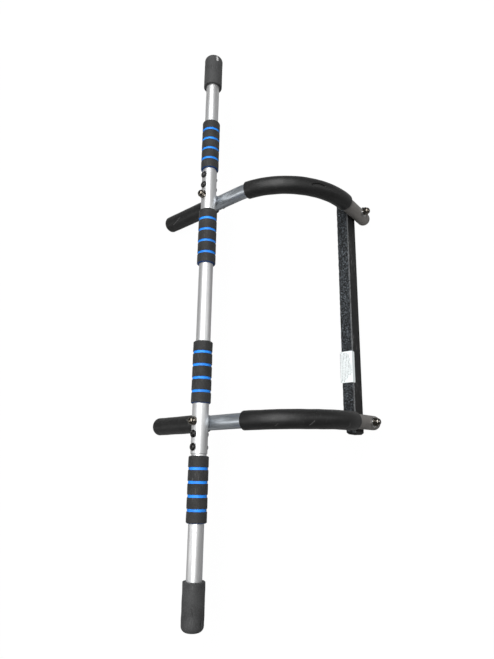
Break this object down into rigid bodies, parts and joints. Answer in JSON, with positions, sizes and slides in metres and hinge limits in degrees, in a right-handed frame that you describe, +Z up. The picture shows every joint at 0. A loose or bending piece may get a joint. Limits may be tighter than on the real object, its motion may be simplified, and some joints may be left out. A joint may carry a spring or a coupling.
{
  "type": "pull up bar",
  "caption": "Door-frame pull up bar: a long round bar with foam grips, two bent arms with foam handles and sleeves, and a padded flat crossbar.",
  "frame": {"origin": "floor level, below the middle of the bounding box", "axes": "+Y along the long bar towards its left end, +X from the handles towards the crossbar, +Z up with the bar lying on its handle tips and arm ends"},
  "size_m": [0.4084, 1.03, 0.1592],
  "materials": {
    "silver_steel": "satin",
    "grey_steel": "satin",
    "black_steel": "satin",
    "black_fastener": "gloss",
    "bright_zinc": "polished",
    "grey_plastic": "satin",
    "black_plastic": "matte",
    "grip_foam": "matte",
    "dark_foam": "matte",
    "cap_foam": "matte",
    "pad_foam": "matte",
    "label_paper": "matte"
  },
  "bodies": {
    "root": {"arch_foam_left": "dark_foam", "arch_foam_right": "dark_foam", "arm_bolt_left": "black_fastener", "arm_bolt_right": "black_fastener", "arm_nut_left": "black_fastener", "arm_nut_right": "black_fastener", "arm_plug_left": "black_plastic", "arm_plug_right": "black_plastic", "arm_tube_left": "grey_steel", "arm_tube_right": "grey_steel", "centre_tube": "silver_steel", "crossbar_bolt_left": "black_fastener", "crossbar_bolt_right": "black_fastener", "crossbar_nut_left": "black_fastener", "crossbar_nut_right": "black_fastener", "crossbar_plug_left": "black_plastic", "crossbar_plug_right": "black_plastic", "crossbar_tube": "black_steel", "end_cap_left": "cap_foam", "end_cap_right": "cap_foam", "extension_bolt_left_1": "black_fastener", "extension_bolt_left_2": "black_fastener", "extension_bolt_right_1": "black_fastener", "extension_bolt_right_2": "black_fastener", "extension_nut_left_1": "black_fastener", "extension_nut_left_2": "black_fastener", "extension_nut_right_1": "black_fastener", "extension_nut_right_2": "black_fastener", "extension_plug_left": "black_plastic", "extension_plug_right": "black_plastic", "extension_tube_left": "silver_steel", "extension_tube_right": "silver_steel", "handle_foam_left": "dark_foam", "handle_foam_right": "dark_foam", "inner_grip_left": "grip_foam", "inner_grip_right": "grip_foam", "label": "label_paper", "outer_grip_left": "grip_foam", "outer_grip_right": "grip_foam", "pad_left": "pad_foam", "pad_right": "pad_foam", "saddle_left": "grey_plastic", "saddle_right": "grey_plastic", "washer_left": "bright_zinc", "washer_right": "bright_zinc"}
  },
  "joints": []
}
